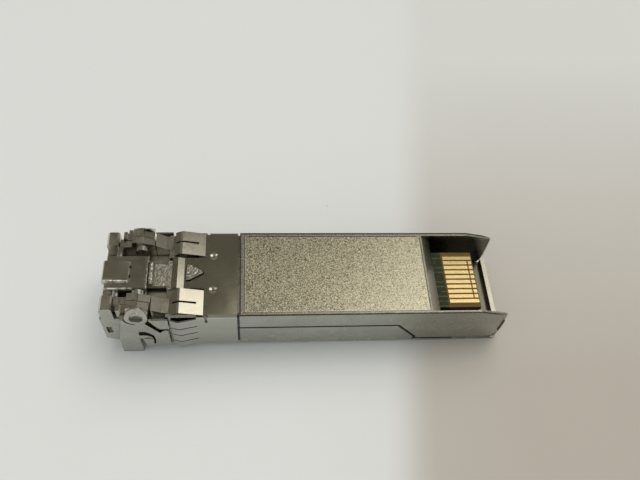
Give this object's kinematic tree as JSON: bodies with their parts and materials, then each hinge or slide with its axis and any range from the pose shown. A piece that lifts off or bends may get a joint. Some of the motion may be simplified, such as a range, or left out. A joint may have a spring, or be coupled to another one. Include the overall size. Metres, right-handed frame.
{
  "type": "optical transceiver module",
  "caption": "Small pluggable metal-cased fibre transceiver with a swinging release bail, a rocker latch, spring-finger collar and gold card edge.",
  "frame": {"origin": "on the label-side face of the shell, on the centre plane, level with the shoulder of the latch boss", "axes": "+X along the module towards the card edge, +Z out of the belly (the side with the latch boss), +Y across the module"},
  "size_m": [0.0571, 0.0148, 0.0117],
  "materials": {
    "plated_casting": "nickel-plated zinc casting, satin to polished",
    "plated_sheet": "nickel-plated spring sheet, polished",
    "label_film": "blank polyester film",
    "steel": "ground steel",
    "barrel_steel": "turned stainless steel",
    "ceramic_white": null,
    "can_gold": "gold-plated sealed can",
    "flex_film": "polyimide film",
    "solder_mask": "glass-epoxy board with green solder mask",
    "contact_gold": "hard gold plating over copper",
    "chip_black": "moulded black package",
    "capacitor_tan": "fired ceramic body",
    "ferrite_grey": "sintered ferrite",
    "soft_pad": "soft filled silicone"
  },
  "bodies": {
    "shell": {"base_housing": "plated_casting", "belly_cover": "plated_casting", "emi_collar": "plated_sheet", "blank_label": "label_film", "latch_pin": "steel", "latch_spring": "steel", "tosa_barrel": "barrel_steel", "tosa_sleeve": "ceramic_white", "tosa_stub": "ceramic_white", "tosa_can": "can_gold", "tosa_flex": "flex_film", "rosa_barrel": "barrel_steel", "rosa_sleeve": "ceramic_white", "rosa_stub": "ceramic_white", "rosa_can": "can_gold", "rosa_flex": "flex_film", "osa_clamp": "steel", "circuit_board": "solder_mask", "belly_contacts": "contact_gold", "label_contacts": "contact_gold", "laser_driver_chip": "chip_black", "limiting_amp_chip": "chip_black", "microcontroller": "chip_black", "memory_chip": "chip_black", "chip_capacitors": "capacitor_tan", "power_inductors": "ferrite_grey", "thermal_pad": "soft_pad"},
    "bail": {"bail_lever": "plated_casting", "bail_pins": "steel"},
    "rocker": {"latch_rocker": "plated_casting"}
  },
  "joints": [
    {"name": "bail_swing", "type": "hinge", "parent": "shell", "child": "bail", "pos_m": [-0.00625, 0, 0.0089], "axis": [0, 1, 0], "range_deg": [0, 90]},
    {"name": "latch_rock", "type": "hinge", "parent": "shell", "child": "rocker", "pos_m": [-0.0094, 0, 0.0078], "axis": [0, 1, 0], "range_deg": [0, 3], "deforming": ["latch_spring"]}
  ],
  "couplings": [
    {"joint": "latch_rock", "follows": "bail_swing", "ratio": 0.033333}
  ]
}
